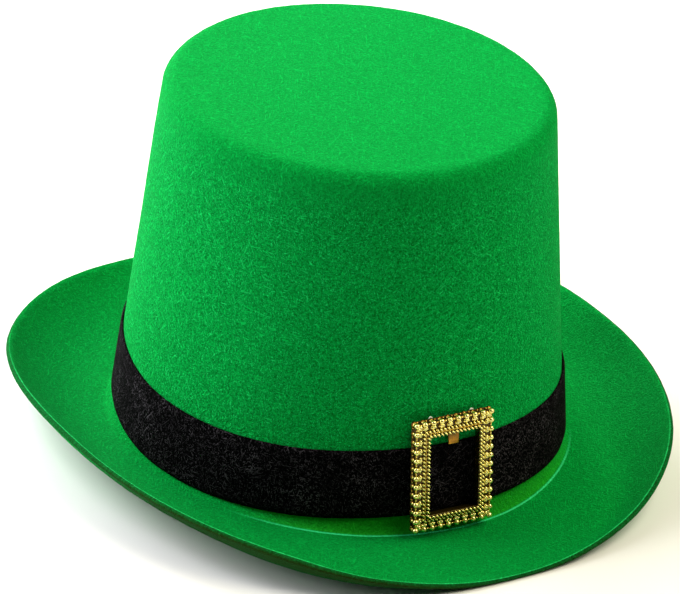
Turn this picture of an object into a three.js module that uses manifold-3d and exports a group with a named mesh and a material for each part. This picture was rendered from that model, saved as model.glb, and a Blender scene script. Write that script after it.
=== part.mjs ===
import * as THREE from 'three';
import { mergeVertices } from 'three/addons/utils/BufferGeometryUtils.js';
import Module from 'manifold-3d';

// A costume top hat: a blocked felt crown and brim in one piece, a felt band and a moulded buckle.
// Lengths are in millimetres. Z is up, the front of the hat faces -Y, and the felt rests on Z = 0.

// Felt body
const feltThickness = 2.3;
const crownBaseWidth = 190.8;
const crownBaseLength = 195.8;
const crownTopWidth = 160.2;
const crownTopLength = 169.6;
const crownHeight = 157;
const crownEdgeRadius = 6.9;
const crownTopDome = 1;
const crownForward = 1.8;
const footFlare = 2.2;
const creaseRadius = 1.6;
const creaseSideRise = 3.9;
const brimWidth = 261.5;
const brimLength = 290.3;
const brimCentreY = -0.6;
const brimSideRise = 23.1;
const brimCurlPower = 2.2;
const brimOutlinePower = 2.28;
const rimRounding = 0.5;
const restHalfAngle = THREE.MathUtils.degToRad(12);

// Band
const bandWidth = 30;
const bandThickness = 1;
const bandFootHeight = 8.1;
const bandGap = 0.3;
const bandCornerRadius = 0.3;

// Buckle
const buckleWidth = 35;
const buckleHeight = 46.6;
const buckleCentreX = -5.4;
const buckleCentreHeight = 27.1;
const buckleGap = 0.4;
const buckleYaw = THREE.MathUtils.degToRad(-2);
const buckleExtraTilt = THREE.MathUtils.degToRad(1.3);
const beadsAcross = 10;
const beadsUp = 13;
const beadRadius = 1.3;
const beadPostHeight = 3.4;
const smallBeadRadius = 0.5;
const plateThickness = 3;
const plateMargin = 0.6;
const flangeMargin = 1;
const flangeThickness = 0.7;
const barInset = 5.9;
const ledgeInset = 4.3;
const ledgeRise = 1.1;
const lobeInset = 2.05;
const lobeLength = 2.4;
const lobeWidth = 1.3;
const lobeHeight = 1.1;
const leafInset = 1.88;
const leafLength = 2.1;
const outerRopeInset = 3.45;
const outerRopeWidth = 1.2;
const innerRopeWidth = 1;
const ropeHeight = 0.8;
const ropeBevel = innerRopeWidth / 4;
const ropeEdge = 0.1;
const sunkDepth = 0.5;
const partingLip = 0.2;
const tabWidth = 4.9;
const tabCentreX = 1.1;
const tabDrop = 7.2;
const tabThickness = 1;

// Tie loops
const loopWidth = 2.6;
const loopHeight = 4.4;
const loopWire = 0.36;
const loopAboveFrame = 1.9;
const loopLeftX = -9;
const loopRightX = 10.3;

// Mesh fineness
const columns = 60;
const brimRows = 7;
const creaseRows = 3;
const edgeRows = 4;
const topRings = 2;
const beadSides = 10;
const lobeSides = 6;
const ballRows = 4;
const loopSides = 10;
const wireSides = 5;
const weldDistance = 1e-4;

// The felt round the hat, from the front (0) to the back (180 degrees), the same on both sides. rim is the
// rise of the brim's edge as a share of brimSideRise, flat the share of the brim's reach that lies flat
// before it curls up, and foot the height of the band's lower edge as a share of bandFootHeight.
const round = [
  { angle: 0, rim: 0, flat: 0.8, foot: 1 },
  { angle: 22.5, rim: 0.27, flat: 0.75, foot: 0.92 },
  { angle: 45, rim: 0.67, flat: 0.46, foot: 0.71 },
  { angle: 67.5, rim: 0.9, flat: 0.16, foot: 0.62 },
  { angle: 90, rim: 1, flat: 0.13, foot: 0.73 },
  { angle: 112.5, rim: 0.91, flat: 0.14, foot: 1.13 },
  { angle: 135, rim: 0.71, flat: 0.15, foot: 1.4 },
  { angle: 157.5, rim: 0.61, flat: 0.17, foot: 1.45 },
  { angle: 180, rim: 0.51, flat: 0.2, foot: 1.45 },
];
const tableStep = THREE.MathUtils.degToRad(round[1].angle - round[0].angle);

// Smooth value of a table column at a turn from the front, mirrored past the front and the back.
function roundValue(column, turn) {
  const last = round.length - 1;
  const side = Math.abs(Math.atan2(Math.sin(turn), Math.cos(turn))) / tableStep;
  const row = Math.min(Math.floor(side), last - 1);
  const at = (k) => round[last - Math.abs(last - Math.abs(k))][column];
  const t = side - row;
  const [before, from, to, after] = [at(row - 1), at(row), at(row + 1), at(row + 2)];
  const slope = to - before;
  const bend = 2 * before - 5 * from + 4 * to - after;
  const twist = 3 * (from - to) + after - before;
  return from + 0.5 * t * (slope + t * (bend + t * twist));
}

// Height of the crease between crown and brim, top side, above the crease at the front. A short
// stretch at the front and at the back is flat, where the felt rests.
function creaseHeight(turn) {
  const rest = Math.sin(restHalfAngle) ** 2;
  return creaseSideRise * Math.max(0, (Math.sin(turn) ** 2 - rest) / (1 - rest));
}

// Height of the band's lower edge, where the foot of the crown begins to flare.
function footHeight(turn) {
  return bandFootHeight * roundValue('foot', turn);
}

const taperX = (crownBaseWidth - crownTopWidth) / 2 / crownHeight;
const taperY = (crownBaseLength - crownTopLength) / 2 / crownHeight;

// Slope of the crown wall in the direction of a turn.
function taperAt(turn) {
  return taperX * Math.sin(turn) ** 2 + taperY * Math.cos(turn) ** 2;
}

// A point of the crown at a level, offset outwards from its tapered wall.
function crownPoint(turn, level, offset) {
  return new THREE.Vector3(
    (crownBaseWidth / 2 - taperX * level + offset) * Math.sin(turn),
    -(crownBaseLength / 2 - taperY * level + offset) * Math.cos(turn) - crownForward,
    level + feltThickness,
  );
}

// The brim's outline, a slightly squared oval.
function rimPoint(turn) {
  const bend = (value) => Math.sign(value) * Math.abs(value) ** (2 / brimOutlinePower);
  return new THREE.Vector3(
    (brimWidth / 2) * bend(Math.sin(turn)),
    (-brimLength / 2) * bend(Math.cos(turn)) + brimCentreY,
    0,
  );
}

// The hat's top surface at a turn, as points {out, up} from the rim to the shoulder of the crown. out
// grows away from the crown wall at the base, and up is measured from the crease at the front.
function topSide(turn) {
  const taper = taperAt(turn);
  const crease = creaseHeight(turn);
  const foot = footHeight(turn);
  const creaseOut = footFlare - taper * crease;
  const reach = rimPoint(turn).distanceTo(crownPoint(turn, crease, footFlare).setZ(0));
  const rise = brimSideRise * roundValue('rim', turn) - crease;
  const corner = new THREE.Vector2(creaseOut, crease);
  const soft = Math.min(creaseRadius, 0.8 * (foot - crease));
  const flat = roundValue('flat', turn);
  const flare = (share) => {
    const level = crease + share * (foot - crease);
    return new THREE.Vector2(footFlare * (1 - share) ** 2 - taper * level, level);
  };
  const points = [];
  for (let row = 0; row <= brimRows; row += 1) {
    const curl = 1 - row / brimRows;
    const out = creaseOut + reach * (flat + (1 - flat) * curl);
    points.push(new THREE.Vector2(out, crease + rise * curl ** brimCurlPower));
  }
  const softStart = new THREE.Vector2(creaseOut + soft, crease);
  const softening = new THREE.QuadraticBezierCurve(softStart, corner, flare(soft / (foot - crease)));
  points.push(...softening.getPoints(creaseRows - 1), flare(1));
  const shoulder = crownHeight - crownEdgeRadius;
  for (let row = 0; row <= edgeRows; row += 1) {
    const angle = (row / edgeRows) * (Math.PI / 2);
    points.push(new THREE.Vector2(-taper * shoulder - crownEdgeRadius * (1 - Math.cos(angle)),
      shoulder + crownEdgeRadius * Math.sin(angle)));
  }
  return { points, taper, crease, creaseOut, reach };
}

// The same points moved through the felt to its other side.
function underSide(points) {
  return points.map((point, k) => {
    const before = points[Math.max(k - 1, 0)];
    const after = points[Math.min(k + 1, points.length - 1)];
    const along = k === points.length - 1 ? new THREE.Vector2(-1, 0) : after.clone().sub(before).normalize();
    return new THREE.Vector2(point.x - along.y * feltThickness, point.y + along.x * feltThickness);
  });
}

// Turns a point {out, up} at a turn into a point in space, over the crown or over the brim.
function place(turn, point, side) {
  if (point.x <= side.creaseOut) {
    const level = Math.max(point.y, side.crease);
    return crownPoint(turn, level, point.x + side.taper * level).setZ(point.y + feltThickness);
  }
  const start = crownPoint(turn, side.crease, footFlare);
  return start.lerp(rimPoint(turn), (point.x - side.creaseOut) / side.reach).setZ(point.y + feltThickness);
}

// One column of the felt body, from the middle of the ceiling inside, down and out to the rim, and back
// over the brim and the crown to the middle of the top.
function feltColumn(turn) {
  const side = topSide(turn);
  const upper = side.points;
  const lower = underSide(upper);
  const rimTop = upper[0];
  const rimLow = lower[0];
  const inwards = upper[1].clone().sub(rimTop).normalize();
  const centre = new THREE.Vector3(0, -crownForward, 0);
  const rings = (edge, height) => {
    const list = [];
    for (let ring = 1; ring <= topRings; ring += 1) {
      const share = 1 - ring / (topRings + 1);
      list.push(edge.clone().lerp(centre, 1 - share).setZ(height + crownTopDome * (1 - share * share)));
    }
    list.push(centre.clone().setZ(height + crownTopDome));
    return list;
  };
  const topEdge = place(turn, upper[upper.length - 1], side);
  const ceilingEdge = place(turn, lower[lower.length - 1], side);
  const rim = [
    rimLow.clone().addScaledVector(inwards, rimRounding),
    rimTop.clone().add(rimLow).multiplyScalar(0.5),
    rimTop.clone().addScaledVector(inwards, rimRounding),
  ];
  return [
    ...rings(ceilingEdge, ceilingEdge.z).reverse(),
    ...lower.slice(1).reverse().map((point) => place(turn, point, side)),
    ...rim.map((point) => place(turn, point, side)),
    ...upper.slice(1).map((point) => place(turn, point, side)),
    ...rings(topEdge, topEdge.z),
  ];
}

// A body turned round the hat, each of whose columns has its own section. A closed section meets itself.
function turned(column, closed) {
  const first = column(0);
  const count = first.length + (closed ? 1 : 0);
  const profile = Array.from({ length: count }, (_, k) => new THREE.Vector2(1, k));
  const geometry = new THREE.LatheGeometry(profile, columns);
  const position = geometry.attributes.position;
  for (let step = 0; step <= columns; step += 1) {
    const points = column(((step % columns) / columns) * 2 * Math.PI);
    for (let k = 0; k < count; k += 1) {
      const point = points[k % points.length];
      position.setXYZ(step * count + k, point.x, point.y, point.z);
    }
  }
  return merged(geometry);
}

// A geometry whose shared corners are merged, without its collapsed triangles.
function merged(geometry) {
  const bare = geometry.clone();
  bare.deleteAttribute('normal');
  bare.deleteAttribute('uv');
  const joined = mergeVertices(bare, weldDistance);
  const index = [];
  for (let k = 0; k < joined.index.count; k += 3) {
    const [a, b, c] = [joined.index.getX(k), joined.index.getX(k + 1), joined.index.getX(k + 2)];
    if (a !== b && b !== c && c !== a) index.push(a, b, c);
  }
  joined.setIndex(index);
  return joined;
}

// Felt band, a flat strip closed into a ring that follows the crown wall.
const bandInside = bandGap;
const bandOutside = bandGap + bandThickness;

function bandColumn(turn) {
  const low = footHeight(turn);
  const high = low + bandWidth;
  const corner = bandCornerRadius;
  return [
    crownPoint(turn, low, bandInside),
    crownPoint(turn, low, bandOutside - corner),
    crownPoint(turn, low + corner, bandOutside),
    crownPoint(turn, high - corner, bandOutside),
    crownPoint(turn, high, bandOutside - corner),
    crownPoint(turn, high, bandInside),
  ];
}

// Buckle, worked out lying on its back: X across, Y up the hat and Z out of the frame, back plane at Z = 0.
const wasm = await Module();
wasm.setup();

function solid(geometry) {
  const mesh = merged(geometry);
  return new wasm.Manifold(new wasm.Mesh({
    numProp: 3,
    vertProperties: new Float32Array(mesh.attributes.position.array),
    triVerts: new Uint32Array(mesh.index.array),
  }));
}

function rectangle(width, height) {
  const path = new THREE.Shape();
  path.moveTo(-width / 2, -height / 2);
  path.lineTo(width / 2, -height / 2);
  path.lineTo(width / 2, height / 2);
  path.lineTo(-width / 2, height / 2);
  path.closePath();
  return path;
}

// A flat rectangular ring between two insets from the line of the beads, standing on its back at z.
function ring(outerInset, innerInset, z, thickness, bevel) {
  const shape = rectangle(buckleWidth - 2 * (outerInset + bevel), buckleHeight - 2 * (outerInset + bevel));
  shape.holes.push(rectangle(buckleWidth - 2 * (innerInset - bevel), buckleHeight - 2 * (innerInset - bevel)));
  const geometry = new THREE.ExtrudeGeometry(shape, {
    depth: thickness - 2 * bevel,
    bevelEnabled: bevel > 0,
    bevelThickness: bevel,
    bevelSize: bevel,
    bevelSegments: 1,
  });
  return geometry.translate(0, 0, z + bevel);
}

// The beads' places, moved on by a share of their spacing, as [x, y, angle of the side, true at a corner].
function stations(offset) {
  const list = [];
  for (let k = 0; k < beadsAcross - 1; k += 1) {
    const x = -buckleWidth / 2 + ((k + offset) * buckleWidth) / (beadsAcross - 1);
    list.push([x, -buckleHeight / 2, 0, k === 0], [-x, buckleHeight / 2, Math.PI, k === 0]);
  }
  for (let k = 0; k < beadsUp - 1; k += 1) {
    const y = -buckleHeight / 2 + ((k + offset) * buckleHeight) / (beadsUp - 1);
    list.push([buckleWidth / 2, y, Math.PI / 2, k === 0], [-buckleWidth / 2, -y, -Math.PI / 2, k === 0]);
  }
  return list;
}

// A bead on a short post that runs down to the parting lip, as it leaves a mould.
function bead() {
  const slant = Math.SQRT1_2 * beadRadius;
  const profile = [
    new THREE.Vector2(0, partingLip),
    new THREE.Vector2(beadRadius, partingLip),
    new THREE.Vector2(beadRadius, beadPostHeight),
    new THREE.Vector2(slant, beadPostHeight + slant),
    new THREE.Vector2(0, beadPostHeight + beadRadius),
  ];
  return new THREE.LatheGeometry(profile, beadSides).rotateX(Math.PI / 2);
}

// A low oval cushion cast on the plate, its length set at an angle.
function cushion(length, angle) {
  const geometry = new THREE.SphereGeometry(1, lobeSides, ballRows).rotateX(Math.PI / 2);
  return geometry.scale(length / 2, lobeWidth / 2, lobeHeight).rotateZ(angle);
}

// The bars step up to a ledge round the opening, with a rope below the step and one on the ledge. A lobe
// lies along the bar inside each bead. At a corner a leaf points inwards in its place.
function buckleGeometry() {
  const ledgeTop = plateThickness + ledgeRise;
  let body = solid(ring(ledgeInset, barInset, 0, ledgeTop, 0));
  const join = (geometry, x = 0, y = 0, z = 0) => {
    body = body.add(solid(geometry.translate(x, y, z)));
  };
  join(ring(-plateMargin, ledgeInset + sunkDepth, 0, plateThickness, 0));
  join(ring(-flangeMargin, sunkDepth, 0, flangeThickness, 0));
  const ropes = [
    [outerRopeInset, outerRopeWidth, plateThickness],
    [barInset - ropeEdge - innerRopeWidth / 2, innerRopeWidth, ledgeTop],
  ];
  for (const [inset, width, z] of ropes) {
    join(ring(inset - width / 2, inset + width / 2, z - sunkDepth, ropeHeight + sunkDepth, ropeBevel));
  }
  for (const [x, y, angle, corner] of stations(0)) {
    join(bead(), x, y);
    const [cos, sin] = [Math.cos(angle), Math.sin(angle)];
    if (corner) {
      const leaf = cushion(leafLength, angle + Math.PI / 4);
      join(leaf, x + leafInset * (cos - sin), y + leafInset * (sin + cos), plateThickness);
    } else {
      join(cushion(lobeLength, angle), x - lobeInset * sin, y + lobeInset * cos, plateThickness);
    }
  }
  for (const [x, y] of stations(0.5)) {
    const smallBead = new THREE.SphereGeometry(smallBeadRadius, beadSides, ballRows);
    join(smallBead.rotateX(Math.PI / 2), x, y, plateThickness);
  }
  const tabHeight = tabDrop + sunkDepth;
  const tab = new THREE.BoxGeometry(tabWidth, tabHeight, tabThickness);
  const tabTop = buckleHeight / 2 - barInset + sunkDepth;
  join(tab, tabCentreX, tabTop - tabHeight / 2, partingLip + tabThickness / 2);
  const mesh = body.getMesh();
  const geometry = new THREE.BufferGeometry();
  geometry.setAttribute('position', new THREE.BufferAttribute(mesh.vertProperties, 3));
  geometry.setIndex(new THREE.BufferAttribute(mesh.triVerts, 1));
  return geometry;
}

// Assembly
const hat = new THREE.Group();
const finishes = {
  felt: { color: 0x0b8a2c, roughness: 0.95, metalness: 0 },
  band: { color: 0x0b0b0d, roughness: 0.95, metalness: 0 },
  gold: { color: 0xd8ae3c, roughness: 0.25, metalness: 1 },
  thread: { color: 0xe6e6dc, roughness: 0.5, metalness: 0 },
};

function piece(name, geometry, finish, parent) {
  const mesh = new THREE.Mesh(geometry, new THREE.MeshStandardMaterial(finish));
  mesh.name = name;
  parent.add(mesh);
}

piece('felt_body', turned(feltColumn, false), finishes.felt, hat);
piece('hat_band', turned(bandColumn, true), finishes.band, hat);

// The buckle's back stands just clear of the band, square to the crown's slope at the front.
const buckle = new THREE.Group();
const buckleLean = Math.atan(taperY) + buckleExtraTilt;
const seat = crownPoint(0, buckleCentreHeight, bandOutside + buckleGap);
buckle.position.set(buckleCentreX, seat.y, seat.z);
buckle.rotation.set(Math.PI / 2 - buckleLean, 0, buckleYaw, 'ZYX');
hat.add(buckle);
piece('buckle_frame', buckleGeometry(), finishes.gold, buckle);

const loopTop = buckleHeight / 2 + beadRadius + loopAboveFrame;
const loopDepth = -(bandOutside + buckleGap) / 2;
for (const [name, x] of [['tie_loop_left', loopLeftX], ['tie_loop_right', loopRightX]]) {
  const bend = loopWidth / 2 - loopWire;
  const loop = new THREE.TorusGeometry(bend, loopWire, wireSides, loopSides);
  loop.scale(1, loopHeight / loopWidth, 1).translate(x, loopTop - loopHeight / 2, loopDepth);
  piece(name, loop, finishes.thread, buckle);
}

export default hat;
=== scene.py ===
from math import atan, atan2, copysign, cos, hypot, pi, radians, sin

import bmesh
import bpy
from mathutils import Matrix, Vector, noise


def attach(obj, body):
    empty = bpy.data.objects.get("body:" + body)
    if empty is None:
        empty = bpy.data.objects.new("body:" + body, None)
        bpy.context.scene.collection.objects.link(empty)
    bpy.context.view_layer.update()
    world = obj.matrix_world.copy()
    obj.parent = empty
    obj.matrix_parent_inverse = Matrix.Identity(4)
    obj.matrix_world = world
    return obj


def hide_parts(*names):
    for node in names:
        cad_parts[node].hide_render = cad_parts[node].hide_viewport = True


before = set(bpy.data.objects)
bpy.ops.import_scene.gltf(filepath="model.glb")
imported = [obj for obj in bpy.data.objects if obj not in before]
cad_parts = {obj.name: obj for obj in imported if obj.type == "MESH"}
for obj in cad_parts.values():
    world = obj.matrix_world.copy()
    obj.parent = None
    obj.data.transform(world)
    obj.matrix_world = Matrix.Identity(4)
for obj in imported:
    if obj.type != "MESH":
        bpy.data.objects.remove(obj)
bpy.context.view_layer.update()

# The setting: a pale floor, the studio's soft lights and the camera. The hat is seen from its right front
# corner, 28 degrees above the floor, with the camera rolled 4 degrees.
camera_azimuth = radians(-32.7857)
camera_elevation = radians(27.5801)
camera_roll = radians(-4.0453)
camera_distance = 2.726911
camera_target = Vector((0, -0.0018, 0.0615))
camera_pan = (0.0023625, 0.000743)
focal_pixels = 6499.4
photo_width = 680
floor_side = 8
floor_drop = 0.0003
floor_colour = (0.84, 0.84, 0.84, 1)
floor_shade = (0.8, 0.8, 0.8, 1)
world_colour = (0.85, 0.88, 0.92, 1)
world_strength = 0.02

back = Vector((sin(camera_azimuth) * cos(camera_elevation), -cos(camera_azimuth) * cos(camera_elevation),
               sin(camera_elevation)))
level = Vector((cos(camera_azimuth), sin(camera_azimuth), 0))
right = level * cos(camera_roll) - back.cross(level) * sin(camera_roll)
up = level * sin(camera_roll) + back.cross(level) * cos(camera_roll)

camera = bpy.data.objects.new("camera", bpy.data.cameras.new("camera"))
camera.data.lens = focal_pixels / photo_width * camera.data.sensor_width
camera.matrix_world = Matrix.Translation(
    camera_target + back * camera_distance - right * camera_pan[0] - up * camera_pan[1]
) @ Matrix((right, up, back)).transposed().to_4x4()
bpy.context.scene.collection.objects.link(camera)
bpy.context.scene.camera = camera
bpy.context.scene.view_settings.view_transform = "Standard"

# Softboxes, each turned to the crown: its turn to the right of the camera and its height, both in degrees,
# its side, its power and its colour.
softbox_distance = 1.4
key_colour = (1, 1, 1)
fill_colour = (1, 0.93, 0.72)
softboxes = {
    "key_back": {"turn": -150, "height": 20, "side": 1.1, "power": 34, "colour": key_colour},
    "key_middle": {"turn": -120, "height": 20, "side": 1.1, "power": 6, "colour": key_colour},
    "key_front": {"turn": -90, "height": 20, "side": 1.1, "power": 18, "colour": key_colour},
    "key_high": {"turn": -90, "height": 50, "side": 0.7, "power": 11, "colour": key_colour},
    "fill_side": {"turn": 90, "height": 50, "side": 1.1, "power": 22, "colour": fill_colour},
    "fill_back": {"turn": 150, "height": 50, "side": 1.1, "power": 4.5, "colour": fill_colour},
}
for name, box in softboxes.items():
    lamp = bpy.data.lights.new(name, "AREA")
    lamp.color = box["colour"]
    lamp.size = box["side"]
    lamp.energy = box["power"]
    softbox = bpy.data.objects.new(name, lamp)
    turn, height = camera_azimuth + radians(box["turn"]), radians(box["height"])
    towards = Vector((sin(turn) * cos(height), -cos(turn) * cos(height), sin(height)))
    softbox.matrix_world = Matrix.Translation(camera_target + towards * softbox_distance) @ (
        towards.to_track_quat("Z", "Y").to_matrix().to_4x4())
    bpy.context.scene.collection.objects.link(softbox)

world = bpy.data.worlds.new("studio")
world.use_nodes = True
world.node_tree.nodes["Background"].inputs["Color"].default_value = world_colour
world.node_tree.nodes["Background"].inputs["Strength"].default_value = world_strength
bpy.context.scene.world = world


class Socket:
    """A value in a material, so that sums and products of values are written as expressions."""

    def __init__(self, tree, socket=None):
        self.tree = tree
        self.socket = socket

    def node(self, kind, settings=None, inputs=None, output=0):
        """Adds a node of a kind: first its settings, then the values or links of its sockets."""
        made = self.tree.nodes.new("ShaderNode" + kind)
        for key, value in (settings or {}).items():
            setattr(made, key, value)
        for key, value in (inputs or {}).items():
            if isinstance(value, Socket):
                self.tree.links.new(value.socket, made.inputs[key])
            else:
                made.inputs[key].default_value = value
        return Socket(self.tree, made.outputs[output]) if made.outputs else None

    def maths(self, operation, *values):
        return self.node("Math", {"operation": operation}, dict(enumerate(values)))

    def __add__(self, other):
        return self.maths("ADD", self, other)

    def __sub__(self, other):
        return self.maths("SUBTRACT", self, other)

    def __rsub__(self, other):
        return self.maths("SUBTRACT", other, self)

    def __mul__(self, other):
        return self.maths("MULTIPLY", self, other)

    __radd__ = __add__
    __rmul__ = __mul__

    def step(self, low, high):
        """0 below low and 1 above high, smooth between them. It falls instead where low is the higher."""
        return self.node("MapRange", {"interpolation_type": "SMOOTHSTEP"},
                         {"Value": self, "From Min": low, "From Max": high})

    def mix(self, first, second):
        """A colour from first to second as this value goes from 0 to 1."""
        return self.node("Mix", {"data_type": "RGBA"}, {0: self, 6: first, 7: second}, 2)


def new_material(name):
    """An empty material, and what adds nodes to it."""
    material = bpy.data.materials.new(name)
    material.use_nodes = True
    material.node_tree.nodes.clear()
    return material, Socket(material.node_tree)


def new_piece(name, mesh_maker, material):
    """Makes a bmesh into a finished, smooth-shaded object at the origin."""
    mesh = bpy.data.meshes.new(name)
    mesh_maker.to_mesh(mesh)
    mesh_maker.free()
    mesh.polygons.foreach_set("use_smooth", [True] * len(mesh.polygons))
    mesh.materials.append(material)
    piece = bpy.data.objects.new(name, mesh)
    bpy.context.scene.collection.objects.link(piece)
    return piece


floor_material, kit = new_material("painted_floor")
kit.node("OutputMaterial", None, {"Surface": kit.node("BsdfPrincipled", None, {
    "Base Color": (0.5 + 0.5 * kit.node("TexNoise", None, {"Scale": 3, "Detail": 2})).mix(
        floor_shade, floor_colour),
    "Roughness": 0.9, "Specular IOR Level": 0.1})})
floor_maker = bmesh.new()
bmesh.ops.create_grid(floor_maker, x_segments=1, y_segments=1, size=floor_side / 2,
                      matrix=Matrix.Translation((0, 0, -floor_drop)))
floor = new_piece("floor", floor_maker, floor_material)

# Felt body: crown, crown foot and curled brim, blocked under steam from one sheet of green polyester felt
# 2.3 mm thick. The brim's edge is a plain cut, and the crown is open below.
felt_thickness = 0.0023
crown_base_width = 0.1908
crown_base_length = 0.1958
crown_top_width = 0.1602
crown_top_length = 0.1696
crown_height = 0.157
crown_edge_radius = 0.0069
crown_top_dome = 0.001
crown_forward = 0.0018
foot_flare = 0.0022
crease_radius = 0.0016
crease_side_rise = 0.0039
brim_width = 0.2615
brim_length = 0.2903
brim_centre_y = -0.0006
brim_side_rise = 0.0231
brim_curl_power = 2.2
brim_outline_power = 2.28
rim_rounding = 0.0004
rest_half_angle = radians(12)
band_foot_height = 0.0081
felt_columns = 320
rim_shares = (0, 0.08, 0.25, 0.5, 0.75, 0.92, 1)
brim_rows, flat_rows, crease_rows, foot_rows, wall_rows, edge_rows, top_rows = 16, 3, 5, 5, 70, 8, 22
lump_height = 0.00009
lump_size = 0.0042
small_lump_ratio = 2.1
sway_height = 0.0003
sway_size = 0.045

# Round the hat from the front to the back in steps of 22.5 degrees, the same on both sides: the rise of
# the brim's edge as a share of its side rise, the share of the brim that lies flat before it curls, and
# the height of the band's lower edge as a share of that at the front.
rim_rise = (0, 0.27, 0.67, 0.9, 1, 0.91, 0.71, 0.61, 0.51)
flat_share = (0.8, 0.75, 0.46, 0.16, 0.13, 0.14, 0.15, 0.17, 0.2)
foot_share = (1, 0.92, 0.71, 0.62, 0.73, 1.13, 1.4, 1.45, 1.45)


def round_value(values, turn):
    """Smooth value of one of these rows at a turn from the front."""
    last = len(values) - 1
    side = abs(atan2(sin(turn), cos(turn))) / (pi / last)
    row = min(int(side), last - 1)
    before, start, end, after = (values[last - abs(last - abs(k))] for k in range(row - 1, row + 3))
    t = side - row
    bend = 2 * before - 5 * start + 4 * end - after
    twist = 3 * (start - end) + after - before
    return start + 0.5 * t * (end - before + t * (bend + t * twist))


taper_x = (crown_base_width - crown_top_width) / 2 / crown_height
taper_y = (crown_base_length - crown_top_length) / 2 / crown_height


def crown_point(turn, level, offset):
    """A point of the crown's wall at a level, offset outwards."""
    return Vector(((crown_base_width / 2 - taper_x * level + offset) * sin(turn),
                   -(crown_base_length / 2 - taper_y * level + offset) * cos(turn) - crown_forward,
                   level + felt_thickness))


def rim_point(turn):
    """The brim's outline, a slightly squared oval."""
    def bend(value):
        return copysign(abs(value) ** (2 / brim_outline_power), value)
    return Vector((brim_width / 2 * bend(sin(turn)), -brim_length / 2 * bend(cos(turn)) + brim_centre_y, 0))


def felt_column(turn):
    """The felt's section at a turn, from the ceiling's middle round the rim to the middle of the top."""
    taper = taper_x * sin(turn) ** 2 + taper_y * cos(turn) ** 2
    rest = sin(rest_half_angle) ** 2
    crease = crease_side_rise * max(0, (sin(turn) ** 2 - rest) / (1 - rest))
    foot = band_foot_height * round_value(foot_share, turn)
    crease_out = foot_flare - taper * crease
    start, end = crown_point(turn, crease, foot_flare), rim_point(turn)
    reach = (start.xy - end.xy).length
    rise = brim_side_rise * round_value(rim_rise, turn) - crease
    flat = round_value(flat_share, turn)
    soft = min(crease_radius, 0.8 * (foot - crease))

    def flare(share):
        level = crease + share * (foot - crease)
        return Vector((foot_flare * (1 - share) ** 2 - taper * level, level))

    upper = []
    for row in range(brim_rows + 1):
        curl = 1 - row / brim_rows
        upper.append(Vector((crease_out + reach * (flat + (1 - flat) * curl),
                             crease + rise * curl ** brim_curl_power)))
    for row in range(1, flat_rows + 1):
        upper.append(Vector((crease_out + soft + (reach * flat - soft) * (1 - row / flat_rows), crease)))
    soft_share = soft / (foot - crease)
    flat_end, corner = upper[-1], Vector((crease_out, crease))
    for row in range(1, crease_rows + 1):
        t = row / crease_rows
        upper.append(flat_end * (1 - t) ** 2 + corner * 2 * t * (1 - t) + flare(soft_share) * t * t)
    upper += [flare(soft_share + (1 - soft_share) * row / foot_rows) for row in range(1, foot_rows + 1)]
    shoulder = crown_height - crown_edge_radius
    for row in range(1, wall_rows):
        height = foot + (shoulder - foot) * row / wall_rows
        upper.append(Vector((-taper * height, height)))
    for row in range(edge_rows + 1):
        angle = row / edge_rows * pi / 2
        upper.append(Vector((-taper * shoulder - crown_edge_radius * (1 - cos(angle)),
                             shoulder + crown_edge_radius * sin(angle))))
    lower = []
    for k, point in enumerate(upper):
        along = (upper[min(k + 1, len(upper) - 1)] - upper[max(k - 1, 0)]).normalized()
        if k == len(upper) - 1:
            along = Vector((-1, 0))
        lower.append(Vector((point.x - along.y * felt_thickness, point.y + along.x * felt_thickness)))

    def place(point):
        if point.x <= crease_out:
            height = max(point.y, crease)
            spot = crown_point(turn, height, point.x + taper * height)
        else:
            spot = start.lerp(end, (point.x - crease_out) / reach)
        spot.z = point.y + felt_thickness
        return spot

    def rings(edge):
        centre = Vector((0, -crown_forward, 0))
        spots = []
        for row in range(1, top_rows + 1):
            share = 1 - row / top_rows
            spot = centre.lerp(edge, share)
            spot.z = edge.z + crown_top_dome * (1 - share * share)
            spots.append(spot)
        return spots

    inwards = (upper[1] - upper[0]).normalized()
    rim = [lower[0].lerp(upper[0], t) + inwards * rim_rounding * abs(2 * t - 1) ** 3 for t in rim_shares]
    inside = [place(point) for point in reversed(lower[1:])][::2]
    outside = [place(point) for point in upper[1:]]
    return rings(inside[0])[::-2] + inside + [place(point) for point in rim] + outside + rings(outside[-1])


def turned(section, columns):
    """A section turned round the hat, whose points are placed anew at each turn and keep their row."""
    maker = bmesh.new()
    row_layer = maker.verts.layers.float.new("row")
    first = section(0)
    points = [maker.verts.new((1, 0, k)) for k in range(len(first))]
    edges = [maker.edges.new(pair) for pair in zip(points, points[1:])]
    bmesh.ops.spin(maker, geom=points + edges, cent=(0, 0, 0), axis=(0, 0, 1), angle=2 * pi, steps=columns,
                   use_merge=True)
    placed = {}
    for vert in maker.verts:
        step = round(atan2(vert.co.x, -vert.co.y) / (2 * pi / columns)) % columns
        if step not in placed:
            placed[step] = section(step * 2 * pi / columns)
        vert[row_layer] = round(vert.co.z)
        vert.co = placed[step][round(vert.co.z)]
    bmesh.ops.remove_doubles(maker, verts=maker.verts, dist=1e-6)
    bmesh.ops.recalc_face_normals(maker, faces=maker.faces)
    return maker


felt_maker = turned(felt_column, felt_columns)
felt_maker.normal_update()
moved = []
for vert in felt_maker.verts:
    lump = noise.noise(vert.co / lump_size) + 0.5 * noise.noise(vert.co / lump_size * small_lump_ratio)
    sway = noise.noise(vert.co / sway_size)
    moved.append(vert.co + vert.normal * lump * lump_height + vert.normal * sway * sway_height)
for vert, spot in zip(felt_maker.verts, moved):
    spot.z = max(spot.z, 0)
    vert.co = spot

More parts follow.
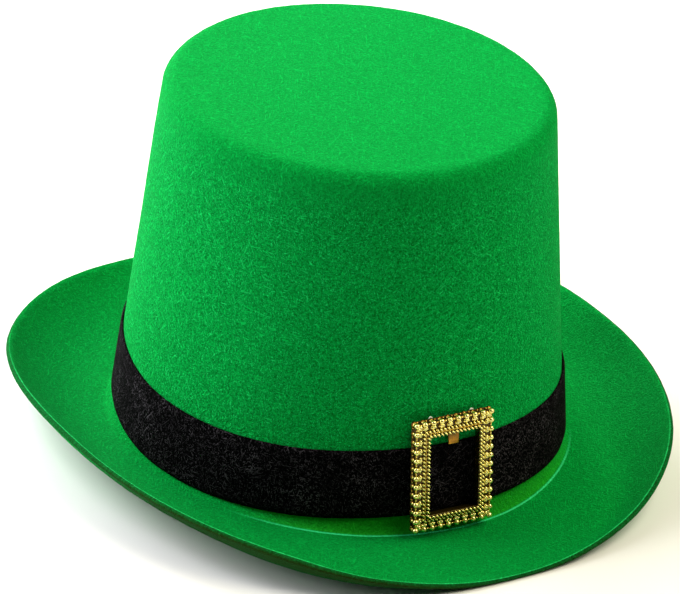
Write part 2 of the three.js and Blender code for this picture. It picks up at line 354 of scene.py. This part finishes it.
# Directions that the fibres lie in, spread evenly, as turns of the x axis.
fibre_lies = ((0, 0, 1.02), (0, 0, -1.02), (0, -0.55, 0), (0, 0.55, 0), (0, -1.02, 1.57), (0, 1.02, 1.57))


def matted_fibres(kit, length, width, warp, low, high):
    """Short fibres matted in all directions, each lie shifted: 1 along each fibre and 0 between them."""
    place = kit.node("TexCoord", None, None, "Object")
    swirl = kit.node("TexNoise", {"noise_dimensions": "3D"}, {"Vector": place, "Scale": 1 / (length * 2),
                                                              "Detail": 1}, "Color")
    swirl = kit.node("VectorMath", {"operation": "SUBTRACT"}, {0: swirl, 1: (0.5, 0.5, 0.5)})
    bent = kit.node("VectorMath", {"operation": "MULTIPLY_ADD"}, {0: swirl, 1: (warp, warp, warp), 2: place})
    best = None
    for turn in fibre_lies:
        drawn = kit.node("Mapping", {"vector_type": "TEXTURE"}, {
            "Vector": bent, "Rotation": turn, "Scale": (length, width, width),
            "Location": (turn[1] * 0.3, turn[2] * 0.2, turn[1] * 0.1)})
        line = kit.node("TexNoise", None, {"Vector": drawn, "Scale": 1, "Detail": 1}).step(low, high)
        best = line if best is None else kit.maths("MAXIMUM", best, line)
    return best


felt_material, kit = new_material("green_felt")
fibres = matted_fibres(kit, length=0.0042, width=0.00075, warp=0.0015, low=0.57, high=0.76)
place = kit.node("TexCoord", None, None, "Object")
clumps = kit.node("TexNoise", None, {"Vector": place, "Scale": 850, "Detail": 3, "Roughness": 0.7})
nap = fibres * 0.6 + clumps.step(0.3, 0.7) * 0.4

# Colours of the felt. Where there are two, the first lies between the fibres and the second on them. Those of
# the foot, cut edge, strip under it and brim front are painted shade; those of the crease and lip are painted
# highlights.
felt_colours = (0.0003, 0.13, 0.0135, 1), (0.0015, 0.485, 0.067, 1)
foot_shade_colours = (0.004, 0.20, 0.006, 1), (0.016, 0.44, 0.02, 1)
cut_shade_colours = (0.004, 0.03, 0.002, 1), (0.005, 0.2, 0.035, 1)
under_shade_colours = (0.012, 0.014, 0.001, 1), (0.02, 0.05, 0.003, 1)
strand_colour = (0.02, 0.80, 0.18, 1)
painted_brim_shade = (0.001, 0.02, 0.001, 1)
crease_highlight_colour = (0.05, 0.9, 0.34, 1)
lip_highlight_colour = (0.03, 0.75, 0.20, 1)

# Rows of the mesh where the felt differs: the hairier crown wall, the cut edge painted dark as shade with a
# painted highlight along its upper lip, the strip under that edge painted darker as shade, the brim whose
# front is painted darker as shade, a painted highlight along the crease, and the smoother foot between that
# line and the band, painted yellower as shade.
upper_rows = brim_rows + flat_rows + crease_rows + foot_rows + wall_rows + edge_rows + 1
cut_row = top_rows // 2 + upper_rows // 2
lip_row = cut_row + len(rim_shares) - 1
crease_row = lip_row + brim_rows + flat_rows
band_row = crease_row + crease_rows + foot_rows
shoulder_row = band_row + wall_rows
row = kit.node("Attribute", {"attribute_name": "row"}, None, "Fac")


def on_rows(start, full, last, end):
    """1 on the rows from full to last, falling to 0 at start and at end."""
    return row.step(start, full) * row.step(end, last)


wall = on_rows(band_row, band_row + 6, shoulder_row - 8, shoulder_row + 2)
foot = on_rows(crease_row + 1.5, crease_row + 2.5, band_row, band_row + 1)
crease = on_rows(crease_row, crease_row + 0.7, crease_row + 1.2, crease_row + 2)
brim = on_rows(lip_row, lip_row + 1, crease_row, crease_row + 1)
lip = on_rows(lip_row - 1.6, lip_row - 1, lip_row, lip_row + 0.2)
cut = on_rows(cut_row - 1, cut_row, lip_row - 1.5, lip_row - 1)
under = on_rows(cut_row - 8, cut_row - 2, cut_row, cut_row + 4)

# Front of the hat, and how far each point lies towards the photo's camera, in metres from the middle.
front = kit.node("SeparateXYZ", None, {"Vector": place}, "Y").step(-0.05, -0.09)
forwards = kit.node("VectorMath", {"operation": "DOT_PRODUCT"}, {0: place, 1: (-0.54, -0.84, 0)}, "Value")
nap = nap * (0.65 + 0.35 * wall) + 0.13 * (1 - wall)
strands = matted_fibres(kit, length=0.0065, width=0.0005, warp=0.003, low=0.66, high=0.76)
colour = nap.mix(*felt_colours)
colour = (strands * (0.1 + 0.5 * wall)).mix(colour, strand_colour)
# Painted shade: the brim is darkened by up to a fifth on its side towards the camera, as the crown's shadow.
colour = (brim * forwards.step(0.06, 0.11) * 0.2).mix(colour, painted_brim_shade)
# Painted shade: at the front the foot is coloured a yellower green, as the shade under the band.
colour = (foot * front).mix(colour, nap.mix(*foot_shade_colours))
# Painted highlight: a pale line along the crease, at the front only.
colour = (crease * front * (0.5 + 0.5 * nap)).mix(colour, crease_highlight_colour)
# Painted shade: the cut edge is coloured dark green all round, as shadow.
colour = cut.mix(colour, nap.mix(*cut_shade_colours))
# Painted shade: towards the camera the strip under the cut edge is coloured dark brown, as the shadow under
# the curled brim.
colour = (under * forwards.step(0.06, 0.12)).mix(colour, nap.mix(*under_shade_colours))
# Painted highlight: a pale line along the cut edge's upper lip, on the side towards the camera.
colour = (lip * (0.1 + 1.1 * nap) * forwards.step(-0.03, 0.05)).mix(colour, lip_highlight_colour)
relief = kit.node("Bump", None, {"Height": nap, "Strength": 0.9, "Distance": 0.0008})
kit.node("OutputMaterial", None, {"Surface": kit.node("BsdfPrincipled", None, {
    "Base Color": colour, "Roughness": 0.95, "Specular IOR Level": 0.02, "Normal": relief,
    "Sheen Weight": 0.12, "Sheen Roughness": 0.5, "Sheen Tint": (0, 1, 0.3, 1)})})
felt_hat = new_piece("felt_hat", felt_maker, felt_material)
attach(felt_hat, "root")
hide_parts("felt_body")

# Hat band: a flat strip of black fuzzy felt, 30 mm wide and with its nap 1.1 mm thick. It is glued round the
# foot of the crown, and its two faces stand at the gap and the stand below from the crown's wall.
band_width = 0.030
band_gap = 0.0002
band_stand = 0.0013
band_columns = 320
band_rows = 18
band_rounding = 0.00045
band_black = (0.0003, 0.0003, 0.0004, 1)
lint_colour = (0.060, 0.054, 0.062, 1)


def band_column(turn):
    """The strip's section at a turn, closed, standing on its lower edge."""
    low = band_foot_height * round_value(foot_share, turn)
    points = []
    for row in range(band_rows + 1):
        share = row / band_rows
        from_edge = min(share, 1 - share) * band_width
        dip = max(0, 1 - from_edge / band_rounding)
        points.append(crown_point(turn, low + share * band_width, band_stand - band_rounding * dip ** 2))
    points.append(crown_point(turn, low + band_width, band_gap))
    points.append(crown_point(turn, low, band_gap))
    points.append(points[0].copy())
    return points


band_maker = turned(band_column, band_columns)
band_material, kit = new_material("black_felt")
fibres = matted_fibres(kit, length=0.0060, width=0.00065, warp=0.005, low=0.63, high=0.74)
tufts = kit.node("TexNoise", None, {"Vector": kit.node("TexCoord", None, None, "Object"), "Scale": 55,
                                    "Detail": 5, "Roughness": 0.8})
lint = fibres * (0.3 + 0.7 * tufts.step(0.4, 0.7))
relief = kit.node("Bump", None, {"Height": fibres * 0.5 + tufts, "Strength": 0.6, "Distance": 0.0005})
kit.node("OutputMaterial", None, {"Surface": kit.node("BsdfPrincipled", None, {
    "Base Color": lint.mix(band_black, lint_colour), "Roughness": 0.95, "Specular IOR Level": 0.02,
    "Normal": relief, "Sheen Weight": 0.002, "Sheen Roughness": 0.4, "Sheen Tint": (0.9, 0.95, 1, 1)})})
felt_band = new_piece("felt_band", band_maker, band_material)
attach(felt_band, "root")
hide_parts("hat_band")

# Buckle: an open rectangular frame moulded in one piece of plastic and metallized bright gold. Beads on
# posts, shells, corner leaves and two ropes are cast on it. A small tab behind the top bar takes the tie.
buckle_width = 0.035
buckle_height = 0.0466
buckle_centre_x = -0.0062
buckle_centre_height = 0.0271
buckle_stand = 0.0017
buckle_yaw = radians(-2)
buckle_lean = atan(taper_y) + radians(1.3)
beads_across = 10
beads_up = 13
bead_radius = 0.00118
bead_height = 0.0031
ball_angles = range(54, 181, 14)
foot_radius = 0.00138
neck_radius = 0.0008
small_bead = (0.0013, 0.0008, 0.0009)
edge_bead = (0.0009, 0.0007, 0.0008)
edge_bead_inset = -0.0007
bead_lift = 0.0001
plate_thickness = 0.0027
plate_margin = 0.0003
flange_margin = 0.001
flange_thickness = 0.0007
bar_inset = 0.0057
bar_bevel = 0.00012
tab_bevel = 0.0002
ledge_inset = 0.0045
ledge_rise = 0.0008
shell_root = 0.0011
leaf_root = 0.0012
petal_size = (0.0015, 0.0021, 0.0022)
petal_turns = (-48, 0, 48)
ropes = ({"inset": 0.0035, "rise": 0.0006}, {"inset": 0.0052, "rise": ledge_rise + 0.0007})
rope_pitch = 0.0017
rope_grain = (0.0021, 0.00095, 0.0018)
tab_width = 0.0049
tab_centre_x = 0.0011
tab_drop = 0.0062
tab_thickness = 0.001
tab_shade_tone = 0.3
tone_start = 0.0001
tone_rise = 0.0005
tone_flange_edge = 0.0004
tone_tab_gap = 0.0008
# Gold on the tops, amber as painted half shade and dark brown as painted shade in the gaps.
gold_body = (1.0, 0.86, 0.16, 1)
gold_half_shade = (0.55, 0.25, 0.015, 1)
gold_shade = (0.05, 0.034, 0.003, 1)

seat = crown_point(0, buckle_centre_height, buckle_stand)
buckle_place = Matrix.Translation((buckle_centre_x, seat.y, seat.z)) @ Matrix.Rotation(
    buckle_yaw, 4, "Z") @ Matrix.Rotation(pi / 2 - buckle_lean, 4, "X")


def along_frame(inset, count_across, count_up, offset):
    """Places along a rectangle inside the line of the beads: x, y and the direction of the side."""
    width, height = buckle_width - 2 * inset, buckle_height - 2 * inset
    for k in range(count_across):
        x = -width / 2 + (k + offset) * width / count_across
        yield from ((x, -height / 2, 0), (-x, height / 2, pi))
    for k in range(count_up):
        y = -height / 2 + (k + offset) * height / count_up
        yield from ((width / 2, y, pi / 2), (-width / 2, -y, -pi / 2))


def rect_ring(maker, section):
    """A closed section of insets and heights, taken round the four bars with mitred corners."""
    ring = bmesh.new()
    points = [ring.verts.new((1 - inset, 0, height)) for inset, height in section]
    edges = [ring.edges.new(pair) for pair in zip(points, points[1:] + points[:1])]
    bmesh.ops.spin(ring, geom=points + edges, cent=(0, 0, 0), axis=(0, 0, 1), angle=2 * pi, steps=4,
                   use_merge=True)
    bmesh.ops.rotate(ring, verts=ring.verts, cent=(0, 0, 0), matrix=Matrix.Rotation(pi / 4, 3, "Z"))
    for vert in ring.verts:
        inset = 1 - hypot(vert.co.x, vert.co.y)
        vert.co.x = copysign(buckle_width / 2 - inset, vert.co.x)
        vert.co.y = copysign(buckle_height / 2 - inset, vert.co.y)
    bmesh.ops.recalc_face_normals(ring, faces=ring.faces)
    bmesh.ops.bevel(ring, geom=ring.edges[:], offset=bar_bevel, offset_type="OFFSET", segments=2,
                    profile=0.5, affect="EDGES", material=-1, clamp_overlap=True)
    many(maker, ring)


def many(maker, part, matrices=(Matrix.Identity(4),)):
    """Adds a copy of a part's mesh at each of the matrices, or one in place."""
    scratch = bpy.data.meshes.new("scratch")
    part.to_mesh(scratch)
    part.free()
    for matrix in matrices:
        copy = scratch.copy()
        copy.transform(matrix)
        maker.from_mesh(copy)
        bpy.data.meshes.remove(copy)
    bpy.data.meshes.remove(scratch)


def turned_part(profile, steps):
    """A small part whose profile of radii and heights is turned round its own axis."""
    part = bmesh.new()
    points = [part.verts.new((radius, 0, height)) for radius, height in profile]
    edges = [part.edges.new(pair) for pair in zip(points, points[1:])]
    bmesh.ops.spin(part, geom=points + edges, cent=(0, 0, 0), axis=(0, 0, 1), angle=2 * pi, steps=steps,
                   use_merge=True)
    bmesh.ops.remove_doubles(part, verts=part.verts, dist=1e-6)
    bmesh.ops.recalc_face_normals(part, faces=part.faces)
    return part


def ellipsoid(size, turn, columns, rows):
    """A small rounded grain with its three sizes, turned in the plane of the frame."""
    part = bmesh.new()
    bmesh.ops.create_uvsphere(part, u_segments=columns, v_segments=rows, radius=0.5,
                              matrix=Matrix.Rotation(turn, 4, "Z") @ Matrix.Diagonal((*size, 1)))
    return part


buckle_maker = bmesh.new()
top = plate_thickness
rect_ring(buckle_maker, [
    (-flange_margin, 0), (-flange_margin, flange_thickness), (-plate_margin, flange_thickness),
    (-plate_margin, top - 0.0004), (0.0003 - plate_margin, top), (ledge_inset - 0.0005, top),
    (ledge_inset, top + ledge_rise), (bar_inset - 0.0002, top + ledge_rise),
    (bar_inset, top + ledge_rise - 0.0002), (bar_inset, 0)])

stations = list(along_frame(0, beads_across - 1, beads_up - 1, 0))
post = [(0, 0.0001), (0.0012, 0.0001), (foot_radius, 0.0004), (foot_radius - 0.0001, 0.0008),
        (neck_radius, 0.0012), (neck_radius, 0.0024)]
ball = [(bead_radius * sin(radians(angle)), bead_height - bead_radius * cos(radians(angle)))
        for angle in ball_angles]
many(buckle_maker, turned_part(post + ball, 18), [Matrix.Translation((x, y, 0)) for x, y, turn in stations])
for size, inset, floor_height in ((small_bead, 0, top), (edge_bead, edge_bead_inset, flange_thickness)):
    many(buckle_maker, ellipsoid(size, 0, 10, 8), [
        Matrix.Translation((x, y, floor_height + bead_lift)) @ Matrix.Rotation(turn, 4, "Z")
        for x, y, turn in along_frame(inset, beads_across - 1, beads_up - 1, 0.5)])

# A shell is a fan of petals that points inwards from its bead. At a corner it lies along the diagonal.
for petal_turn in petal_turns:
    reach = Matrix.Rotation(radians(petal_turn), 4, "Z") @ Matrix.Translation((0, petal_size[1] * 0.4, 0))
    places = []
    for x, y, turn in stations:
        corner = abs(abs(x) - buckle_width / 2) < 1e-6 and abs(abs(y) - buckle_height / 2) < 1e-6
        inwards = Matrix.Translation((x, y, top)) @ Matrix.Rotation(turn - pi / 4 * corner, 4, "Z")
        places.append(inwards @ Matrix.Translation((0, leaf_root if corner else shell_root, 0)) @ reach)
    many(buckle_maker, ellipsoid(petal_size, 0, 10, 6), places)

for rope in ropes:
    across = round((buckle_width - 2 * rope["inset"]) / rope_pitch)
    upwards = round((buckle_height - 2 * rope["inset"]) / rope_pitch)
    many(buckle_maker, ellipsoid(rope_grain, -pi / 4, 10, 6), [
        Matrix.Translation((x, y, top + rope["rise"])) for x, y, turn in
        along_frame(rope["inset"], across, upwards, 0.5)])

tab = bmesh.new()
bmesh.ops.create_cube(tab, size=1, matrix=Matrix.Translation(
    (tab_centre_x, buckle_height / 2 - bar_inset - tab_drop / 2 + 0.0004, 0.0002 + tab_thickness / 2)
) @ Matrix.Diagonal((tab_width, tab_drop + 0.0008, tab_thickness, 1)))
bmesh.ops.bevel(tab, geom=tab.edges, offset=tab_bevel, segments=2, profile=0.5, affect="EDGES", material=-1)
many(buckle_maker, tab)

# Painted shade: the tone is 0 in the gaps of the relief and 1 on its tops, by the height over the flange,
# plate or ledge, and the tab behind the top bar is set to half shade.
tone_layer = buckle_maker.verts.layers.float.new("shade_tone")
for vert in buckle_maker.verts:
    beside = max(abs(vert.co.x) - buckle_width / 2, abs(vert.co.y) - buckle_height / 2)
    base = flange_thickness if beside > tone_flange_edge else top + ledge_rise * (beside < -ledge_inset)
    raised = (vert.co.z - base - tone_start) / tone_rise
    vert[tone_layer] = tab_shade_tone if beside < -bar_inset - tone_tab_gap else min(max(raised, 0), 1)
buckle_maker.transform(buckle_place)

buckle_material, kit = new_material("gold_metallizing")
speckle = kit.node("TexNoise", None, {"Vector": kit.node("TexCoord", None, None, "Object"), "Scale": 900,
                                      "Detail": 2})
shade_tone = kit.node("Attribute", {"attribute_name": "shade_tone"}, None, "Fac") + speckle * 0.3 - 0.15
# Painted shade: the base colour runs with the tone from dark brown in the gaps through amber half shade to
# bright gold on the tops, and only the tops take the coat.
kit.node("OutputMaterial", None, {"Surface": kit.node("BsdfPrincipled", None, {
    "Base Color": shade_tone.step(0.4, 0.9).mix(shade_tone.step(0, 0.4).mix(gold_shade, gold_half_shade), gold_body),
    "Metallic": 0.68, "Coat Weight": shade_tone.step(0.6, 1), "Coat Roughness": 0.15, "Coat IOR": 2.4,
    "Roughness": 0.2 + 0.06 * speckle,
    "Normal": kit.node("Bump", None, {"Height": speckle, "Strength": 0.04, "Distance": 0.0003})})})
cast_buckle = new_piece("cast_buckle", buckle_maker, buckle_material)
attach(cast_buckle, "root")
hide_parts("buckle_frame")

# Tie loops: two small loops of pale nylon thread behind the top bar, which tie the frame to the felt.
loop_width = 0.0026
loop_height = 0.0044
loop_wire = 0.00036
loop_rise = 0.0003
loop_depth = -0.00085
loop_places = {"thread_loop_left": ("tie_loop_left", -0.009), "thread_loop_right": ("tie_loop_right", 0.0103)}

thread_material, kit = new_material("nylon_thread")
place = kit.node("TexCoord", None, None, "Object")
twist = kit.node("TexWave", {"wave_type": "BANDS", "bands_direction": "DIAGONAL"}, {
    "Vector": place, "Scale": 900, "Distortion": 1.0})
kit.node("OutputMaterial", None, {"Surface": kit.node("BsdfPrincipled", None, {
    "Base Color": twist.mix((0.8, 0.84, 0.74, 1), (0.96, 0.98, 0.93, 1)), "Roughness": 0.25,
    "Normal": kit.node("Bump", None, {"Height": twist, "Strength": 0.3, "Distance": 0.0001})})})
for name, (node, x) in loop_places.items():
    maker = bmesh.new()
    ring = bmesh.ops.create_circle(maker, segments=10, radius=loop_wire, matrix=Matrix.Translation(
        (loop_width / 2 - loop_wire, 0, 0)) @ Matrix.Rotation(pi / 2, 4, "X"))
    bmesh.ops.spin(maker, geom=maker.verts[:] + maker.edges[:], cent=(0, 0, 0), axis=(0, 0, 1),
                   angle=2 * pi, steps=32, use_merge=True)
    bmesh.ops.recalc_face_normals(maker, faces=maker.faces)
    loop_top = buckle_height / 2 + bead_radius + loop_rise
    maker.transform(buckle_place @ Matrix.Translation((x, loop_top - loop_height / 2, loop_depth))
                    @ Matrix.Diagonal((1, loop_height / loop_width, 1, 1)))
    loop = new_piece(name, maker, thread_material)
    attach(loop, "root")
    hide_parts(node)
